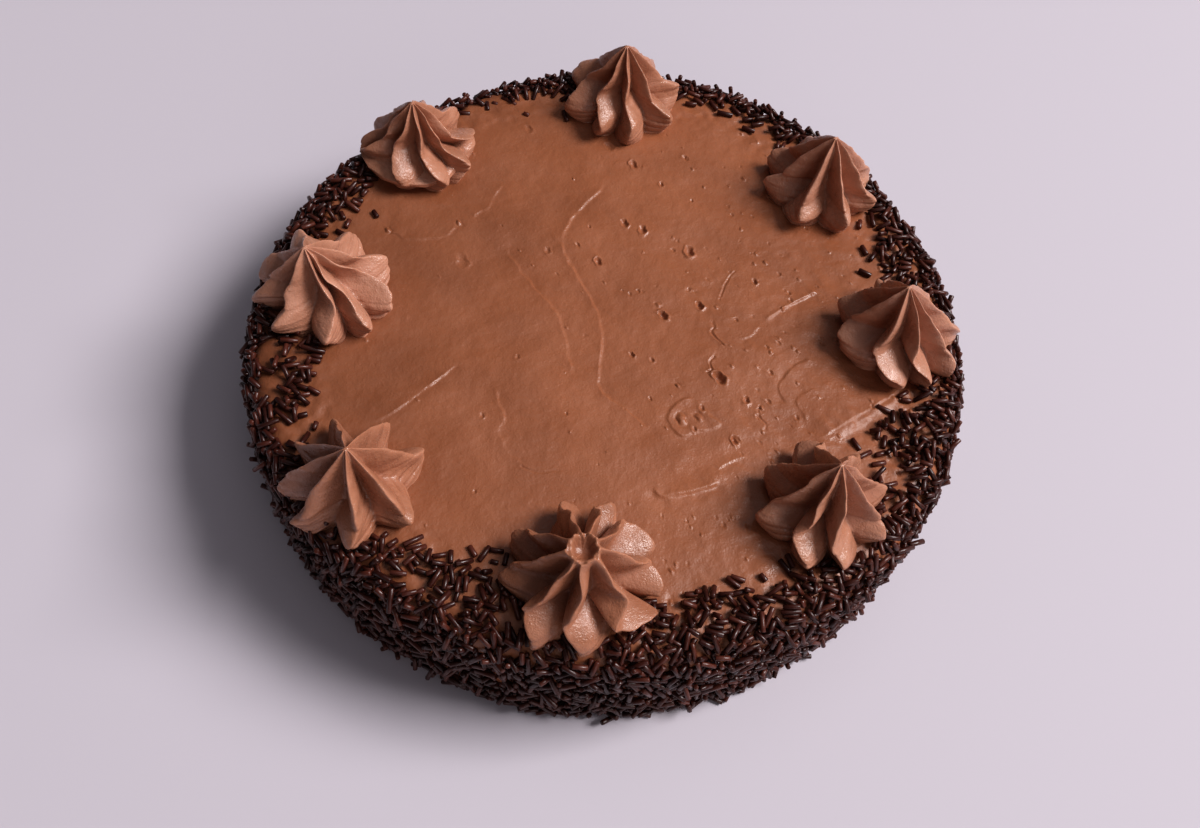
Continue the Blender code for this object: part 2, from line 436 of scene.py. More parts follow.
# Lines that the palette knife left, as points on the top: (height, width, points). The
# frosting is higher on the left of a line.
KNIFE_LINES = (
    (0.50, 0.55, ((17, -37), (6, -30), (0.5, -27), (-2.5, -22), (-2.8, -12), (-4.6, -3),
                  (-8.5, 6), (-16, 17), (-21, 25), (-20.5, 33), (-17, 42), (-12, 51),
                  (-11.7, 56))),
    (0.38, 0.50, ((-10, -22), (-14, -10), (-17, -3), (-22, 3.5), (-31, 12), (-36, 18),
                  (-37.5, 23))),
    (0.60, 0.45, ((-63, -48), (-57.5, -43), (-51, -34.5), (-49, -32), (-43.5, -24))),
    (0.45, 0.50, ((-18, -53), (-20.5, -53), (-24.5, -49.5), (-27.5, -44), (-26.7, -39),
                  (-30, -34), (-31, -30))),
    (0.50, 0.45, ((38, 0.6), (41.5, 3), (44, 7))),
    (0.75, 0.65, ((45, 9), (51, 15.5), (56, 20), (61, 24))),
    (1.60, 1.50, ((66, -30), (73.5, -23), (84, -14), (88, -10), (92, -5))),
    (0.60, 0.45, ((64, -29.5), (72, -22), (82, -13), (87, -8), (90, -3))),
    (0.90, 0.85, ((17, -54), (21, -56), (28, -53.5), (33.5, -50.5), (37, -48))),
    (0.55, 0.50, ((-51, 30), (-49, 33), (-46.5, 35.5), (-45.5, 40), (-44, 46))),
    (0.40, 0.45, ((-76, 19.5), (-72, 19), (-67.5, 18), (-60, 20.5), (-57, 22), (-55, 27))),
    (0.50, 0.45, ((35, -45), (39, -41.5), (42.5, -39.5))),
    (0.50, 0.50, ((27, -22), (23, -24), (20.5, -27), (19.5, -31), (22, -34.5), (25, -35.7),
                  (28, -33.5), (32, -32), (35, -29.5), (30, -26.5), (27, -22))),
    (0.35, 0.40, ((60, -2), (55, -6), (51, -14), (54, -19))),
    (0.35, 0.40, ((62, -12), (57, -17), (60, -24))),
)
# Thin cracks: (depth, width, points).
CRACKS = (
    (0.45, 0.32, ((29.4, 6.5), (30, 4), (29.4, 2), (31, 0), (34, -2.6))),
    (0.55, 0.35, ((31, -6.6), (29.6, -9.3), (30.7, -11.5), (29, -13))),
    (0.40, 0.32, ((45.5, -21), (46.5, -24.5), (48, -27), (47.5, -30))),
    (0.35, 0.32, ((35, 27), (33, 24), (30.7, 15.5), (31.3, 13.5))),
    (0.35, 0.30, ((-20, -54), (-14, -55), (-8, -53.5))),
)
# Burst bubbles: (x, y, radius, depth). A negative depth is a lump.
PITS = (
    (-2.6, 38, 1.5, 0.78), (3.5, 36.7, 1.6, 0.84), (19.3, 31.5, 1.9, 1.14),
    (-8.7, 21.4, 1.4, 0.9), (-16, 26.4, 0.9, 0.42), (14, 5, 1.5, 1.2),
    (24.7, 10.9, 1.4, 1.08), (41, 23.7, 1.1, 0.72), (-13.5, 34.3, 0.7, 0.36),
    (2.8, 10.9, 0.8, 0.3), (36.4, 7.9, 0.8, 0.42), (33.3, -14.4, 2.0, 1.44),
    (6.3, -11.1, 1.0, 0.6), (12.5, -11.8, 0.9, 0.48), (41.8, -20.2, 1.2, 0.78),
    (39.4, -34.3, 1.3, 0.84), (48.3, -9.4, 0.9, 0.48), (50, 1.7, 0.8, 0.36),
    (46.5, -0.6, 0.8, 0.36), (-50.4, 13.1, 2.3, 0.33), (-25, 22.5, 1.2, 0.36),
    (7.2, 57.3, 1.0, 0.54), (-3, 64, 1.6, 0.78), (14, 71, 1.2, 0.54), (-12, 70, 1.8, 0.36),
    (-40, 72, 1.6, 0.3), (-27, -18.5, 0.9, 0.3), (29, -25.5, 1.0, 0.54),
    (23.5, -30.5, 1.8, -0.6), (28.5, -29, 1.4, -0.5), (12, 8.5, 0.9, -0.4),
    (-75.5, 20, 1.1, -0.6), (-54.5, 27.5, 1.0, -0.5), (27.5, -33, 0.9, 0.42),
)
PIT_LENGTHWISE = math.radians(-62)  # the way most of them are drawn out
SMALL_PITS = 260
SMALL_PIT_SEED = 11
SMALL_PIT_SPAN = (-10, 48)  # X where they are rarest and where they are commonest
PIT_SINK = 0.95  # shares of a bubble's depth: its hollow, and the lip round it
LIP_RISE = 0.26
LINE_SPACING = 0.35
LINE_WANDER = 0.45  # how far a line strays from its points
LINE_FADE = 0.10  # the share of a line over which each end fades out
# Waves of the spread top: (height, size, seed).
TOP_WAVES = ((0.55, 46, 1), (0.22, 17, 2), (0.10, 6, 3))
KNIFE_WAY = (0.80, 0.60)  # the way the knife went, and the shallow streaks along it
STREAK_HEIGHT, STREAK_LENGTH, STREAK_SLIMNESS, STREAK_WARP = 0.10, 34, 9, 6
LUMPY_SPAN = (5, 60)  # X where the top starts to be lumpy and where it is most so
TORN_SPAN = (84, 92)  # where it gets ragged towards the rim


def knife_section(across):
    """A knife line's section: a low ridge on the brink of a step up to the left."""
    step = np.tanh(1.4 * across) * bell(across, 4.0)
    return 0.35 * bell(across, 0.9) + 0.45 * step


def crack_section(across):
    """A crack's section: about 1 deep, with raised edges."""
    return 0.5 * bell(abs(across) - 1.6, 0.8) - bell(across, 1.0)


def add_line(relief, x, y, height, width, points, section):
    """Adds a line that fades out. Its section takes the distance to the left, in widths."""
    path = curve_through(points, LINE_SPACING)
    margin = 5 * width
    spots = np.c_[x, y]
    inside = (spots > path.min(axis=0) - margin) & (spots < path.max(axis=0) + margin)
    near = np.flatnonzero(inside.all(axis=1))
    wander = LINE_WANDER * smooth_noise(x[near], y[near], 2.6, 21)
    gaps = spots[near, None] + wander[:, None, None] - path
    closest = np.hypot(gaps[:, :, 0], gaps[:, :, 1]).argmin(axis=1)
    dx, dy = gaps[np.arange(len(near)), closest].T
    tangent = np.gradient(path, axis=0)[closest]
    across = np.sign(tangent[:, 0] * dy - tangent[:, 1] * dx) * np.hypot(dx, dy) / width
    share = closest / (len(path) - 1)
    fade = smooth_step(share, 0, LINE_FADE) * smooth_step(1 - share, 0, LINE_FADE)
    broken = 0.70 + 0.45 * smooth_noise(x[near], y[near], 3.0, 22)
    relief[near] += fade * broken * (height * section(across))


def add_pit(relief, x, y, centre_x, centre_y, radius, depth, seed):
    """Sinks a burst bubble with a slightly raised, uneven lip, or raises a lump."""
    reach = 3 * radius
    near = np.flatnonzero((abs(x - centre_x) < reach) & (abs(y - centre_y) < reach))
    dx, dy = x[near] - centre_x, y[near] - centre_y
    around = np.arctan2(dy, dx)
    drawn = np.cos(2 * (around - PIT_LENGTHWISE + 0.3 * math.sin(seed)))
    uneven = 1 + 0.26 * drawn + 0.08 * np.cos(3 * around + seed) + 0.06 * np.cos(5 * around + seed)
    distance = np.hypot(dx, dy) / (radius * uneven)
    hollow = 1 - smooth_step(distance, 0.25, 1.0)
    lip = bell(distance - 1.12, 0.20) * (1 + 0.8 * np.cos(around + seed))
    relief[near] += depth * (LIP_RISE * lip - PIT_SINK * hollow)


def small_pits():
    """The many small bubbles and grains, most of them on the right: (x, y, radius, depth)."""
    dice = random.Random(SMALL_PIT_SEED)
    found = []
    while len(found) < SMALL_PITS:
        reach = flat_radius * math.sqrt(dice.random())
        turn = dice.uniform(0, math.tau)
        x, y = reach * math.cos(turn), reach * math.sin(turn)
        if dice.random() > 0.10 + 0.90 * smooth_step(x, *SMALL_PIT_SPAN):
            continue
        radius = dice.uniform(0.45, 0.90)
        found.append((x, y, radius, radius * dice.choice((-0.50, -0.35, 0.25, 0.40))))
    return found


def fine_places():
    """Where the top needs a finer mesh: (x, y, reach) rows."""
    places = [(x, y, 1.6 * radius) for x, y, radius, _ in PITS]
    places += [(x, y, 1.4 * radius) for x, y, radius, _ in small_pits()]
    for _, width, points in KNIFE_LINES + CRACKS:
        places += [(x, y, 0.7 + width) for x, y in curve_through(points, 0.8)]
    return np.array(places)


def top_relief(x, y):
    """How far the spread frosting stands above or below the flat."""
    relief = sum(height * smooth_noise(x, y, size, seed) for height, size, seed in TOP_WAVES)
    along, across = x * KNIFE_WAY[0] + y * KNIFE_WAY[1], y * KNIFE_WAY[0] - x * KNIFE_WAY[1]
    warp = STREAK_WARP * smooth_noise(x, y, 40, 4)
    across = (across + warp) * STREAK_SLIMNESS
    relief += STREAK_HEIGHT * smooth_noise(along, across, STREAK_LENGTH, 5)
    lumpy = smooth_step(x, *LUMPY_SPAN)
    relief += (0.06 + 0.10 * lumpy) * smooth_noise(x, y, 2.6, 6)
    relief += 0.20 * lumpy * np.clip(smooth_noise(x, y, 5.0, 7), 0, 1)
    relief += 0.40 * smooth_step(np.hypot(x, y), *TORN_SPAN) * smooth_noise(x, y, 2.2, 9)
    for lines, section in ((KNIFE_LINES, knife_section), (CRACKS, crack_section)):
        for height, width, points in lines:
            add_line(relief, x, y, height, width, points, section)
    for number, pit in enumerate(PITS + tuple(small_pits())):
        add_pit(relief, x, y, *pit, seed=number)
    return relief


def core_profile():
    """The frosting's cross-section as (mean radius, height), from the top centre down."""
    steps = round(flat_radius / TOP_RING_STEP)
    rings = [(flat_radius * i / steps, outline.top) for i in range(1, steps + 1)]
    for i in range(1, SHOULDER_ROWS + 1):
        turn = math.pi / 2 * (1 - i / SHOULDER_ROWS)
        rings.append((flat_radius + CORE_SHOULDER * math.cos(turn),
                      side_length + CORE_SHOULDER * math.sin(turn)))
    steps = round(side_length / SIDE_STEP)
    return rings + [(core_radius, side_length * (1 - i / steps)) for i in range(1, steps + 1)]


def columns_at(radius, height):
    """How many points a ring has: fewer towards the centre and down the side."""
    if height < outline.top - FINE_DROP:
        return FINE_COLUMNS // 2
    count = INNER_COLUMNS
    while count < FINE_COLUMNS and radius > flat_radius * count / FINE_COLUMNS:
        count *= 2
    return count


def refined(vertices, faces):
    """The same surface with the faces near fine details split into finer ones."""
    plain = bpy.data.meshes.new("plain")
    plain.from_pydata(vertices.tolist(), [], faces)
    surface = bmesh.new()
    surface.from_mesh(plain)
    bpy.data.meshes.remove(plain)
    close = np.zeros(len(vertices), dtype=bool)
    for x, y, reach in fine_places():
        close |= np.hypot(vertices[:, 0] - x, vertices[:, 1] - y) < reach + FINER_MARGIN
    close &= vertices[:, 2] > outline.top - FINER_DROP
    edges = [edge for edge in surface.edges if all(close[end.index] for end in edge.verts)]
    bmesh.ops.subdivide_edges(surface, edges=edges, cuts=FINER_CUTS, use_grid_fill=True)
    surface.verts.index_update()
    vertices = np.array([vertex.co[:] for vertex in surface.verts])
    faces = [tuple(vertex.index for vertex in face.verts) for face in surface.faces]
    surface.free()
    return vertices, faces


def build_frosting(material):
    """The whole frosted body as one closed surface, uneven where it was spread."""
    vertices, faces = [np.array([[0, 0, outline.top]])], []
    start, count, total = 0, 1, 1
    for radius, height in core_profile():
        columns = columns_at(radius, height)
        angle = np.arange(columns) * math.tau / columns
        reach = radius * outline.factor(angle)
        vertices.append(np.c_[reach * np.cos(angle), reach * np.sin(angle),
                              np.full(columns, height)])
        faces.extend(ring_faces(start, count, total, columns))
        start, count = total, columns
        total += columns
    faces.append(tuple(range(start + count - 1, start - 1, -1)))
    vertices, faces = refined(np.vstack(vertices), faces)
    lift = smooth_step(vertices[:, 2], side_length, outline.top)
    vertices[:, 2] += lift * top_relief(vertices[:, 0], vertices[:, 1])
    angle = np.arctan2(vertices[:, 1], vertices[:, 0])
    ripple = SIDE_RIPPLE * smooth_noise(angle * core_radius, vertices[:, 2], 9, 8)
    ripple *= (1 - lift) * smooth_step(vertices[:, 2], 0, FOOT_SPAN)
    vertices[:, :2] += ripple[:, None] * np.c_[np.cos(angle), np.sin(angle)]
    add_piece("frosting_body", vertices, faces, material, CAKE_NODE)


# ---- Rosettes ----
# fullness: how round the ends of the lobes are; wrinkles: how deep the creases that run
# round the lobes are; ruffles: how frayed the ridges are; wander: how far they swing from
# side to side, in degrees; then the factor of painted light and shade, by which the frosting
# is painted lighter or darker than most for how light falls on the rosette; blunt: whether
# the tip is broken off.
RosetteLook = namedtuple("RosetteLook", "fullness wrinkles ruffles wander pale blunt seed")
ROSETTE_LOOKS = {"rosette_" + place: RosetteLook(*look) for place, look in {
    "rear": (0.60, 0.9, 1.2, 7, 1.0, False, 1),
    "rear_right": (0.60, 0.8, 1.1, 6, 1.12, False, 2),
    "right": (0.55, 0.8, 1.2, 8, 1.12, False, 3),
    "front_right": (0.60, 0.9, 1.2, 8, 1.02, False, 4),
    "front": (0.45, 0.8, 1.8, 10, 0.87, True, 5),
    "front_left": (0.22, 1.4, 0.9, 4, 0.93, False, 6),
    "left": (0.62, 1.3, 1.5, 9, 1.14, False, 7),
    "rear_left": (0.75, 1.0, 1.4, 12, 1.04, False, 8),
}.items()}
# The hollow in a broken-off tip: (share of the reach of its rim, depth).
CRATER = ((0.95, -0.25), (0.86, -0.35), (0.76, 0.0), (0.66, 0.9), (0.50, 2.0), (0.25, 2.5))
CRATER_ROUNDNESS = 0.45
CRATER_DIP = 0.2
ROSETTE_ROWS = 84
ROW_CROWDING = 1.15  # over 1 puts more of the rows near the foot
STEPS_EACH_SIDE = 9
STEP_CROWDING = 1.35  # over 1 puts more of the steps near the ridge
SUNK = 1.2  # how far the foot reaches into the frosting
VALLEY_DEPTH = 0.37  # how much deeper the grooves are than in the solid
FOOT_VALLEY_DEPTH = 0.07  # and at the foot
GROOVE_SKEW = 0.14  # how far a groove lies off the middle, in shares of the gap
LENGTH_SPREAD = 0.05  # how much the ridges' lengths, waists and grooves differ
WAIST_SPREAD = 0.03
GROOVE_SPREAD = 0.06
SWING_SPREAD = 4  # and how far they bow to one side, in degrees
KINK_SPAN = (0.15, 0.75)  # where they turn aside, from the waist at 0 to the foot at 1
LOBE_POWER = 2.6  # the higher, the blunter the end of a full lobe
BEAD_RISE = 0.62  # the rolled edge along a ridge
BEAD_WIDTH = 0.21  # in shares of the way to the groove
BEAD_AT_FOOT = 0.25  # how much of the rolled edge is left at the foot
HOLLOW_DEPTH = 0.40  # the hollow on each side of the rolled edge
HOLLOW_PLACE = 0.48
RUFFLE_RISE = 0.28
PINCH_DEPTH = 0.75  # the fold where the skirt of lobes meets the body
PINCH_WIDTH = 0.50
SHELF_RISE = 0.55  # and the fuller stretch below it
SHELF_WIDTH = 1.3
SHELF_PLACE = 0.70
LUMP_RISE = 0.52
GRAIN_RISE = 0.09
CREASED_SPAN = (0.05, 0.40)  # where the creases set in, likewise
WAIST_CREASES = 0.12  # how much of them is left above
CREASE_SPACING = 2.1
CREASE_DEPTH = 0.80
FINE_CREASE_SPACING = 0.95
FINE_CREASE_DEPTH = 0.26

# How each ridge differs, as one array for all of them.
Ridges = namedtuple("Ridges", "lengths waists grooves swings phases kinks")


def uneven_ridges(look, count):
    dice = np.random.default_rng(100 + look.seed)

    def spread(most):
        return most * dice.uniform(-1, 1, count)

    return Ridges(spread(LENGTH_SPREAD), spread(WAIST_SPREAD), spread(GROOVE_SPREAD),
                  spread(math.radians(SWING_SPREAD)), dice.uniform(0, math.tau, count),
                  spread(math.radians(look.wander)))


def shoulder_drop(x, y):
    """How far the frosted edge has fallen below the flat top at this place."""
    reach = np.hypot(x, y) / outline.factor(np.arctan2(y, x))
    past = np.clip(reach - flat_radius, 0, 0.93 * CORE_SHOULDER)
    return CORE_SHOULDER - np.sqrt(CORE_SHOULDER ** 2 - past ** 2)


def section_form(off_ridge, way, fullness):
    """1 on a ridge and 0 in a groove. way runs from 0 at the foot to 1 at the waist."""
    blunting = 0.44 - 0.20 * way
    soft = np.sqrt(off_ridge ** 2 + blunting ** 2) - blunting
    soft /= math.sqrt(1 + blunting ** 2) - blunting
    crisp = (1 - soft) ** (1.45 + 0.75 * way)
    lobe = 1 - soft ** LOBE_POWER
    return crisp + (lobe - crisp) * fullness * (1 - way)


def star_ring(place, look, uneven, share, low, numbers):
    """A ring before any relief: each point's angle, its reach, and where it lies between
    the grooves before and after its ridge, at -1 and 1."""
    up = 1 - share
    wander = smooth_noise(numbers, place.height * share, 4.5, 31)
    directions = (eased_curve(place.shares, place.directions, share)
                  + uneven.swings * math.sin(math.pi * share)
                  + math.radians(look.wander) * wander
                  + uneven.kinks * smooth_step(low, *KINK_SPAN))
    groove_share = eased_curve(place.shares, place.grooves, share)
    groove_share *= 1 - VALLEY_DEPTH * math.sin(math.pi * share) - FOOT_VALLEY_DEPTH * low
    ridges = np.array([eased_curve(place.shares, place.reaches, share + shift * up)
                       for shift in uneven.waists])
    ridges *= 1 + uneven.lengths * up
    after = (np.arange(1, STEPS_EACH_SIDE + 1) / STEPS_EACH_SIDE) ** STEP_CROWDING
    before = np.r_[0.0, after[:-1]][::-1]
    points = []
    for number in range(len(numbers)):
        for side, off in ((-1, before), (1, after)):
            other = (number + side) % len(numbers)
            gap = (side * (directions[other] - directions[number])) % math.tau
            gap *= 0.5 + side * GROOVE_SKEW * (1 - 0.6 * low)
            groove = min(ridges[number], ridges[other]) * groove_share
            groove *= 1 + uneven.grooves[number if side > 0 else other] * up
            form = section_form(off, 1 - low, look.fullness)
            points.append(np.c_[directions[number] + side * gap * off,
                                groove + (ridges[number] - groove) * form, side * off])
    return np.vstack(points).T


def rosette_ring(place, look, uneven, share):
    """One ring of a rosette: star-shaped, with uneven lobes, creases and lumps."""
    low = 1 - min(1.0, share / place.shares[WAIST_RING])
    height = place.height * share
    numbers = np.arange(len(uneven.lengths)) * 13.0 + 40 * look.seed
    angles, radii, offs = star_ring(place, look, uneven, share, low, numbers)
    owners = np.repeat(np.arange(len(numbers)), 2 * STEPS_EACH_SIDE)
    phases = uneven.phases[owners]
    thin = math.sqrt(1 - share)
    ruffle = smooth_noise(numbers, height, 1.5, 32) + 0.7 * smooth_noise(numbers, height, 0.8, 33)
    longer = 1 + uneven.lengths[owners]
    edge = BEAD_RISE + RUFFLE_RISE * look.ruffles * ruffle[owners] * longer ** 4
    hollow = HOLLOW_DEPTH * bell(abs(offs) - HOLLOW_PLACE, BEAD_WIDTH)
    rolled = edge * bell(offs, BEAD_WIDTH) - hollow
    radii += rolled * thin * (1 - (1 - BEAD_AT_FOOT) * low)
    bend = 0.5 * smooth_noise(2 * np.cos(angles) + 9 * look.seed, 2 * np.sin(angles), 1.0, 34)
    layers = np.sin(math.pi * (height / CREASE_SPACING + bend + phases / 3))
    patchy = 0.6 + 0.6 * smooth_noise(angles * 5 + 20 * look.seed, height, 2.2, 35)
    creases = CREASE_DEPTH * (1 - abs(layers)) ** 2.2 * np.clip(patchy, 0, 1)
    fine = np.sin(math.pi * (height / FINE_CREASE_SPACING + 2.5 * bend + phases))
    creases += FINE_CREASE_DEPTH * (1 - abs(fine)) ** 1.5 * np.clip(1.2 - patchy, 0, 1)
    where = WAIST_CREASES + (1 - WAIST_CREASES) * smooth_step(low, *CREASED_SPAN)
    radii -= look.wrinkles * creases * where * thin
    waist = place.shares[WAIST_RING] * (0.95 + 2.5 * uneven.waists[owners])
    pinch = bell((share - waist) * place.height, PINCH_WIDTH) * (0.4 + 0.6 * np.clip(patchy, 0, 1))
    shelf = bell((share - SHELF_PLACE * waist) * place.height, SHELF_WIDTH)
    radii += SHELF_RISE * shelf * (1 - 0.6 * abs(offs)) - PINCH_DEPTH * pinch
    lumps = smooth_noise(angles * 9 + 40 * look.seed, height + 17 * look.seed, 2.4, 30)
    grains = smooth_noise(angles * 11 + 60 * look.seed, height + 9 * look.seed, 1.1, 36)
    radii += (LUMP_RISE * lumps + GRAIN_RISE * grains) * thin
    centre = eased_curve(place.shares, place.centres, share)
    x, y = centre[0] + radii * np.cos(angles), centre[1] + radii * np.sin(angles)
    z = place.foot + height - shoulder_drop(x, y) * (1 - share) ** 2
    return np.c_[x, y, z]


def crater_rings(rim, centre, seed):
    """Rings that carry a broken-off tip's rim inward and down."""
    spokes = rim[:, :2] - centre
    reach = np.hypot(*spokes.T)
    rounded = reach * (1 - CRATER_ROUNDNESS) + reach.mean() * CRATER_ROUNDNESS
    ways = spokes / reach[:, None]
    uneven = smooth_noise(*(3 * ways.T), 1.6, seed)
    torn = smooth_noise(*(3 * ways.T), 0.7, seed + 20)
    rings = []
    for share, depth in CRATER:
        reach = rounded * share * (1 + (0.24 * uneven + 0.22 * torn) * (1.2 - share))
        height = rim[:, 2] - depth + (0.9 * uneven + 0.8 * torn) * share ** 2
        rings.append(np.c_[centre + reach[:, None] * ways, height])
    return rings


def build_rosette(place, material):
    """One squeeze from a star nozzle, pulled up to a tip."""
    look = ROSETTE_LOOKS[place.node]
    uneven = uneven_ridges(look, place.directions.shape[1])
    shares = np.linspace(0, 1, ROSETTE_ROWS) ** ROW_CROWDING
    rings = [rosette_ring(place, look, uneven, share) for share in shares]
    rings.insert(0, rings[0] - (0, 0, SUNK))
    tip = [*place.centres[-1], place.foot + place.height]
    if look.blunt:
        rings.extend(crater_rings(rings[-1], place.centres[-1], look.seed))
        tip[2] = rings[-1][:, 2].mean() - CRATER_DIP
    size, end = len(rings[0]), len(rings) * len(rings[0])
    faces = [tuple(range(size - 1, -1, -1))] + tube_faces(len(rings), size)
    faces += ring_faces(end, 1, end - size, size)
    name = place.node.replace("rosette_", "piped_rosette_")
    add_piece(name, np.vstack(rings + [tip]), faces, material, place.node)


# ---- Sprinkles ----
SPRINKLE_RADIUS = 0.75
SPRINKLE_LENGTH = (4.2, 1.1)  # mean and spread
SPRINKLE_LIMITS = (2.0, 7.0)
SINK = 0.25  # how deep a sprinkle presses into the frosting
BALLS = np.linspace(-0.5, 0.5, 5)  # a sprinkle is felt by its neighbours as five balls
CELL = 1.5  # how finely the space is divided to find neighbours
SEARCH_HEIGHT = 5.0  # how high over the frosting they are looked for
FLATNESS = 0.02  # how much a flatter place is preferred to a lower one
SPRINKLE_SEED = 7
RODS_PER_PIECE = 3800  # keeps a piece under 200,000 triangles
SECTION = 7  # sides of a sprinkle
# A sprinkle's rings: (which end, inset in radii, share of the radius).
SPRINKLE_RINGS = ((-1, 0.0, 0.75), (-1, 0.18, 1.0), (1, -0.18, 1.0), (1, 0.0, 0.75))
# Layers on the side: (tries, most height, steepest slope, how far up the shoulder).
FLAT_LAYER = (7500, 1.0, 0.5, 0.8)
LOOSE_LAYER = (8000, 2.3, 1.1, 0.55)
LOWEST = 0.7
BAND_TRIES = 9500
BAND_START = 0.45  # how far up the shoulder the band on the rim starts
BAND_HEIGHTS = (3.0, 1.5)  # the most height at its start and its end
STANDING_TRIES = 700
STANDING_SLOPES = (0.4, 1.3)
STANDING_LIMITS = (3.4, 1.4)  # most height and steepest slope
STRAY_TRIES = 190
STRAY_LIMITS = (0.8, 0.4)

# How far in from the edge the sprinkles on the top reach: (direction in degrees, mm).
BAND_WIDTHS = (
    (-35, 20), (-21, 24), (-14, 24), (-9, 20), (-4, 17), (12, 22), (25, 21), (38, 13),
    (65, 13), (80, 13), (109, 16), (122, 10), (135, 8), (160, 16), (175, 19), (200, 22),
    (214, 15), (242, 19), (254, 23), (265, 21), (290, 20), (308, 17),
)
# Where strays lie further in: (direction, spread) in degrees.
LOOSE_PLACES = ((250, 12), (301, 9), (100, 10))
STRAY_REACH = 2.3
MOST_STRAY_REACH = 8.0
# Where the frosting shows between the sprinkles: (x, y, radius).
BARE_PATCHES = (
    (86, -37, 4.5), (94, -45, 3.0), (98, -32, 2.5), (90, -24, 2.0), (-97, -30, 4.5),
    (-94, -40, 3.0), (-60, 82, 2.5), (-40, -92, 3.0), (40, 92, 2.5),
)


def band_width(angle):
    directions, widths = zip(*BAND_WIDTHS)
    return np.interp(angle, np.radians(directions), widths, period=math.tau)


def surface_frame(angle, travel):
    """A place on the frosting: point, outward normal, direction round it and onward.

    travel is the way from the foot up the side, over the shoulder and in across the top.
    """
    if travel < side_length:
        radius, height, tilt = core_radius, travel, 0.0
    elif travel < up_to_top:
        tilt = (travel - side_length) / CORE_SHOULDER
        radius = flat_radius + CORE_SHOULDER * math.cos(tilt)
        height = side_length + CORE_SHOULDER * math.sin(tilt)
    else:
        tilt = math.pi / 2
        radius = flat_radius - (travel - up_to_top)
        height = outline.top
    reach = radius * outline.factor(angle)
    out = np.array([math.cos(angle), math.sin(angle), 0])
    up = np.array([0, 0, 1])
    normal = math.cos(tilt) * out + math.sin(tilt) * up
    onward = -math.sin(tilt) * out + math.cos(tilt) * up
    return reach * out + height * up, normal, np.cross(up, out), onward


class Coat:
    """Sprinkles pressed on one by one, each resting on the frosting or on earlier ones."""

    def __init__(self):
        self.rods = []
        self.cells = {}

    def cell(self, point):
        return tuple(np.floor(point / CELL).astype(int))

    def neighbours(self, low, high):
        """The balls in every cell between two corners."""
        spans = (range(a, b + 1) for a, b in zip(self.cell(low), self.cell(high)))
        found = [ball for cell in product(*spans) for ball in self.cells.get(cell, ())]
        return np.reshape(found, (-1, 3))

    def heights(self, bases, normal, radius):
        """How high over the surface each ball must lie to clear what is there."""
        span = np.vstack([bases, bases + normal * SEARCH_HEIGHT])
        others = self.neighbours(span.min(axis=0) - 2 * radius, span.max(axis=0) + 2 * radius)
        offset = others - bases[:, None, :]
        along = offset @ normal
        aside = (offset ** 2).sum(axis=2) - along ** 2
        apart = (2 * radius) ** 2
        clear = along + np.sqrt(np.clip(apart - aside, 0, None))
        return clear.max(axis=1, where=aside < apart, initial=radius - SINK)

    def add(self, middle, direction, length, radius):
        self.rods.append((middle, direction, length, radius))
        for share in BALLS:
            ball = middle + direction * share * (length - 2 * radius)
            self.cells.setdefault(self.cell(ball), []).append(tuple(ball))


def resting_line(offsets, heights):
    """The lowest straight line over the heights, as (height at the middle, slope)."""
    lines = []
    for i, j in combinations(range(len(offsets)), 2):
        slope = (heights[j] - heights[i]) / (offsets[j] - offsets[i])
        middle = heights[i] - slope * offsets[i]
        if np.all(middle + slope * offsets >= heights - 1e-6):
            lines.append((middle, slope))
    return min(lines, key=lambda line: line[0] + FLATNESS * abs(line[1]),
               default=(heights.max(), 0.0))


def in_rosette(point, margin):
    return any(math.dist(point[:2], place.centres[0]) < margin * place.reaches.max()
               for place in rosette_places)


def in_bare_patch(point):
    uneven = 1 + 0.35 * smooth_noise(point[0], point[1], 3.0, 43)
    return any(math.dist(point[:2], patch) < radius * uneven for *patch, radius in BARE_PATCHES)


def press_on(coat, dice, angle, travel, most_height, most_slope, raised=None):
    """Tries one sprinkle at a place, turned at random. It is left out if it has no room.

    A raised one keeps this slope instead of lying as flat as it can.
    """
    turn = dice.uniform(0, math.pi)
    length = np.clip(dice.gauss(*SPRINKLE_LENGTH), *SPRINKLE_LIMITS)
    radius = SPRINKLE_RADIUS * dice.uniform(0.9, 1.08)
    point, normal, around, onward = surface_frame(angle, travel)
    if travel > side_length and in_bare_patch(point):
        return
    direction = math.cos(turn) * around + math.sin(turn) * onward
    offsets = BALLS * (length - 2 * radius)
    bases = point + offsets[:, None] * direction
    heights = coat.heights(bases, normal, radius)
    if raised is None:
        middle, slope = resting_line(offsets, heights)
    else:
        middle, slope = (heights - raised * offsets).max(), raised
    if middle > most_height or abs(slope) > most_slope:
        return
    direction = direction + slope * normal
    direction /= np.linalg.norm(direction)
    centre = point + middle * normal
    if centre[2] - 0.5 * length * abs(direction[2]) >= 0.9 * radius:
        coat.add(centre, direction, length, radius)


def coat_side(coat, dice, tries, most_height, most_slope, shoulder_share):
    for _ in range(tries):
        angle = dice.uniform(0, math.tau)
        travel = dice.uniform(LOWEST, side_length + arc_length * shoulder_share)
        press_on(coat, dice, angle, travel, most_height, most_slope)


